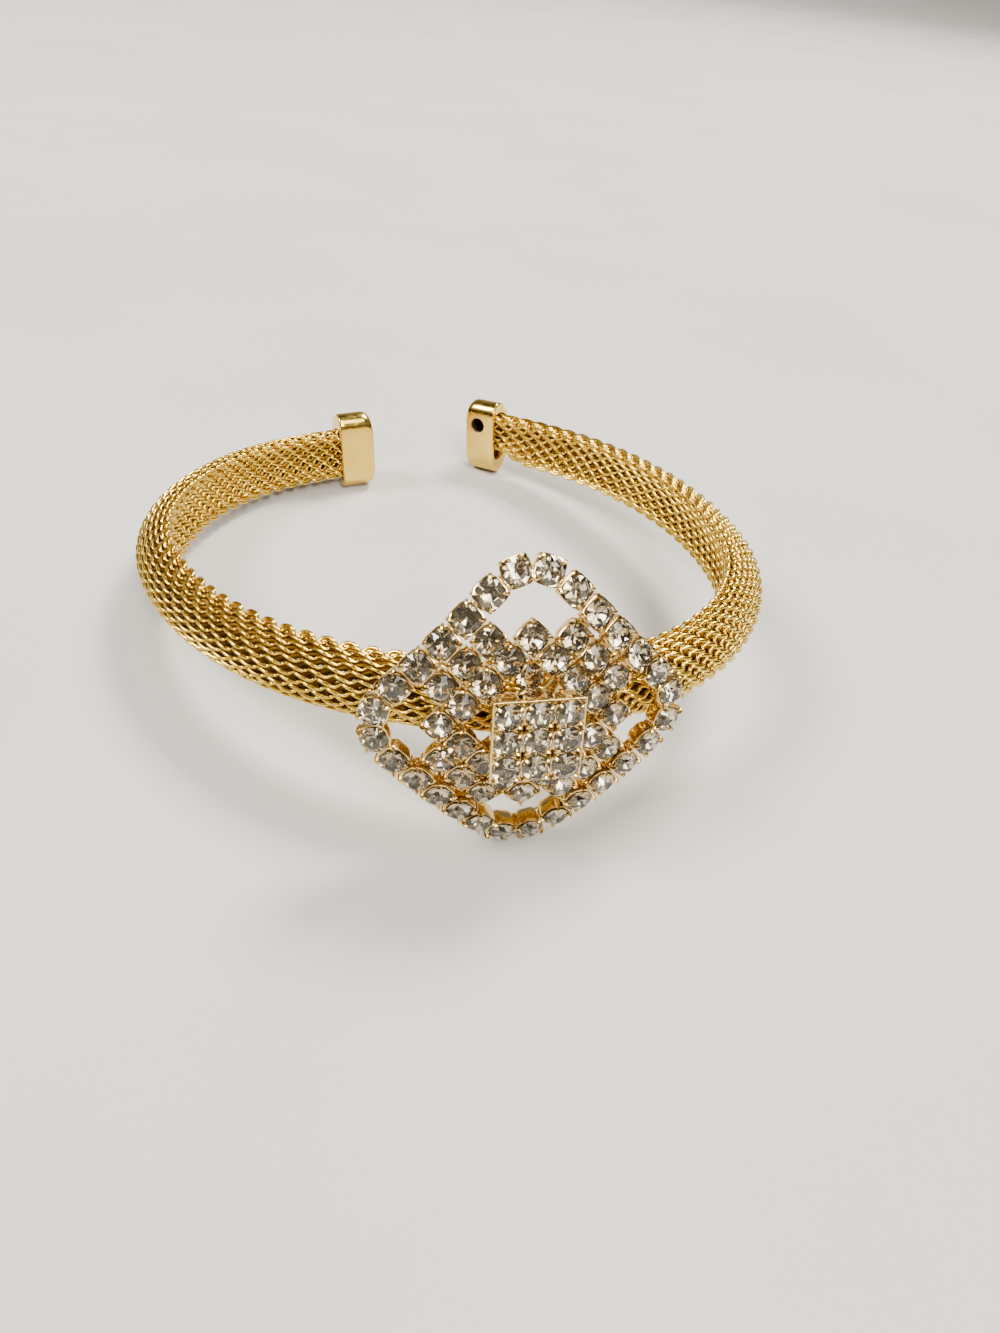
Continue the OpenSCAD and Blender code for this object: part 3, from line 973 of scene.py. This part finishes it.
def make_lights():
    """Three lamps for the highlights, a soft sun, and a sky that is light in one band only."""
    make_light("key", (0.60, 0.72, 1.26), (0, 0, 0.01), (0.52, 0.42), 54, (1.0, 0.95, 0.86))
    make_light("left", (-0.90, -0.06, 1.02), (0, 0, 0.01), (0.38, 0.38), 26, (1.0, 0.95, 0.88))
    make_light("front", (0.30, -1.08, 1.02), (0, -0.02, 0.01), (0.36, 0.36), 24, (1.0, 0.96, 0.9))
    data = bpy.data.lights.new("sky_light", "SUN")
    data.energy = 1.9
    data.angle = math.radians(35)
    data.color = (1.0, 0.98, 0.95)
    sun = bpy.data.objects.new("sky_light", data)
    sun.rotation_euler = (math.radians(24), math.radians(10), 0)
    bpy.context.collection.objects.link(sun)
    world = bpy.data.worlds.new("studio")
    world.use_nodes = True
    nodes, links = world.node_tree.nodes, world.node_tree.links
    where = nodes.new("ShaderNodeTexCoord").outputs["Generated"]
    split = nodes.new("ShaderNodeSeparateXYZ")
    links.new(where, split.inputs["Vector"])
    sky = ramp(nodes, links, split.outputs["Z"], (
        (0.0, (0.05, 0.045, 0.04)), (0.35, (0.10, 0.09, 0.08)), (0.45, (0.80, 0.77, 0.73)),
        (0.60, (0.70, 0.68, 0.65)), (0.72, (0.10, 0.10, 0.09))))
    links.new(sky, nodes["Background"].inputs["Color"])
    nodes["Background"].inputs["Strength"].default_value = 0.34
    bpy.context.scene.world = world


def make_camera():
    look = REST.to_3x3() @ Vector(CAMERA_LOOK)
    up = REST.to_3x3() @ Vector(CAMERA_UP)
    right = look.cross(up)
    at = REST @ Vector(CAMERA_AT)
    data = bpy.data.cameras.new("camera")
    data.lens = CAMERA_LENS
    data.sensor_width = 36
    data.clip_start = 0.002
    data.clip_end = 10
    camera = bpy.data.objects.new("camera", data)
    camera.matrix_world = Matrix([[right[i], up[i], -look[i], at[i] * MM] for i in range(3)]
                                 + [[0, 0, 0, 1]])
    bpy.context.collection.objects.link(camera)
    bpy.context.scene.camera = camera


wire_gold = metal("knitted_wire", (0.72, 0.46, 0.05), (0.88, 0.62, 0.10),
                  0.16, 0.28, 260, 2600, 0.25)
# Darker copy of the wire's gold for the strands behind the rows: painted shade inside the knitted
# tube.
behind_gold_painted_shade = metal("wire_behind_painted_shade", (0.34, 0.19, 0.02), (0.48, 0.28, 0.04),
                    0.35, 0.5, 260, 2600, 0.25)
# Near-black copy of the wire's gold for the strands behind the left arm's outer rows: a painted
# shadow standing in for the tube's dark inside.
deep_gold_painted_shade = metal("wire_deep_painted_shade", (0.08, 0.04, 0.005), (0.15, 0.075, 0.01),
                  0.45, 0.6, 260, 2600, 0.25)
cap_gold = metal("polished_gold", (0.80, 0.53, 0.09), (0.88, 0.63, 0.15),
                 0.12, 0.24, 220, 1800, 0.15)
set_gold = metal("setting_gold", (0.66, 0.45, 0.15), (0.82, 0.62, 0.27),
                 0.10, 0.22, 300, 2200, 0.2)
# Dark brown gold for the walls of the cap's hole: painted shade inside the recess.
hole_painted_shade = metal("cap_hole_painted_shade", (0.16, 0.11, 0.06), (0.24, 0.16, 0.08),
                  0.45, 0.6, 300, 2000, 0.3)
glass = glass_material()
foil = foil_material()

make_weave(wire_gold, behind_gold_painted_shade, deep_gold_painted_shade)
make_cap("cap_left_shell", "cap_left", LEFT_ARM, -1, LEFT_CAP_RISE, cap_gold)
make_cap("cap_right_shell", "cap_right", RIGHT_ARM, 1, RIGHT_CAP_RISE, cap_gold, hole_painted_shade)
make_cups("outer_ring_cups", ring_frames(), CUP_H, set_gold)
make_cups("side_row_cups", row_frames(), CUP_H, set_gold)
make_cups("inner_ring_cups", inner_frames(), CUP_H, set_gold)
make_cups("block_cups", crown_frames(), BLOCK_H, set_gold)
make_bars(set_gold)
make_dish(set_gold)
make_stones("outer_ring_gems", "outer_ring_stones", ring_frames(), glass, foil)
make_stones("side_row_gems", "side_row_stones", row_frames(), glass, foil)
make_stones("inner_ring_gems", "inner_ring_stones", inner_frames(), glass, foil)
make_stones("crown_gems", "crown_stones", crown_frames(), glass, foil)
make_floor()
make_lights()
make_camera()
